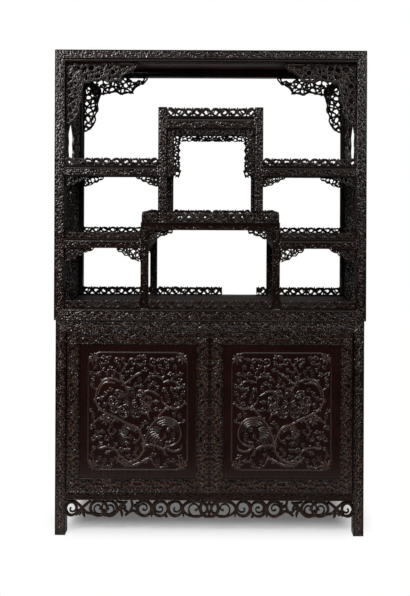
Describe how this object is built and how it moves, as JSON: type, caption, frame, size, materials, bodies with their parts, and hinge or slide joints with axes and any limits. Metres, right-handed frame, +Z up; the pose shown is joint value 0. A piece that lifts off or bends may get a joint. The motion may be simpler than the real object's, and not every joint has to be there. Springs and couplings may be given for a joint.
{
  "type": "carved display cabinet",
  "caption": "Two-part carved hardwood book cabinet: an open stand of stepped shelves with pierced galleries and brackets on a two-door cupboard.",
  "frame": {"origin": "centre of the footprint, on the floor", "axes": "+Z up, the doors face -Y, +X to the right of someone facing the doors"},
  "size_m": [1.272, 0.386, 1.98],
  "materials": {
    "frame_wood": "satin dark hardwood, carved",
    "panel_wood": "satin reddish hardwood, carved",
    "board_wood": "satin dark hardwood, plain"
  },
  "bodies": {
    "carcass": {"back_apron": "frame_wood", "back_arch_frieze": "frame_wood", "back_corner_brackets": "frame_wood", "back_left_leg": "frame_wood", "back_left_post": "frame_wood", "back_muntin": "frame_wood", "back_panels": "board_wood", "back_right_leg": "frame_wood", "back_right_post": "frame_wood", "base_gallery": "frame_wood", "centre_posts": "frame_wood", "cupboard_bottom_long_rails": "board_wood", "cupboard_bottom_side_rails": "board_wood", "cupboard_floor_board": "board_wood", "cupboard_top_board": "board_wood", "cupboard_top_long_rails": "board_wood", "cupboard_top_side_rails": "board_wood", "front_apron": "frame_wood", "front_arch_frieze": "frame_wood", "front_corner_brackets": "frame_wood", "front_left_leg": "frame_wood", "front_left_post": "frame_wood", "front_right_leg": "frame_wood", "front_right_post": "frame_wood", "inner_shelf": "board_wood", "inner_shelf_frame": "frame_wood", "inner_strips": "frame_wood", "lower_shelf_brackets": "frame_wood", "lower_shelf_gallery": "frame_wood", "lower_shelf_rails": "frame_wood", "middle_shelf_board": "board_wood", "middle_shelf_brackets": "frame_wood", "middle_shelf_gallery": "frame_wood", "middle_shelf_rails": "frame_wood", "raised_posts": "frame_wood", "raised_shelf_board": "board_wood", "raised_shelf_gallery": "frame_wood", "raised_shelf_rails": "frame_wood", "side_aprons": "frame_wood", "side_border_strips": "frame_wood", "side_frets": "frame_wood", "side_panels": "board_wood", "side_shelf_boards": "board_wood", "stand_base_board": "board_wood", "stand_base_rails": "frame_wood", "stand_top_board": "board_wood", "stand_top_rails": "frame_wood", "upper_shelf_brackets": "frame_wood", "upper_shelf_gallery": "frame_wood", "upper_shelf_rails": "frame_wood"},
    "left_door": {"left_door_hinge_stile": "frame_wood", "left_door_meeting_stile": "frame_wood", "left_door_panel": "panel_wood", "left_door_rails": "frame_wood"},
    "right_door": {"right_door_hinge_stile": "frame_wood", "right_door_meeting_stile": "frame_wood", "right_door_panel": "panel_wood", "right_door_rails": "frame_wood"}
  },
  "joints": [
    {"name": "left_door_hinge", "type": "hinge", "parent": "carcass", "child": "left_door", "pos_m": [-0.5765, -0.176, 0.5025], "axis": [0, 0, -1], "range_deg": [0, 100]},
    {"name": "right_door_hinge", "type": "hinge", "parent": "carcass", "child": "right_door", "pos_m": [0.5765, -0.176, 0.5025], "axis": [0, 0, 1], "range_deg": [0, 100]}
  ]
}
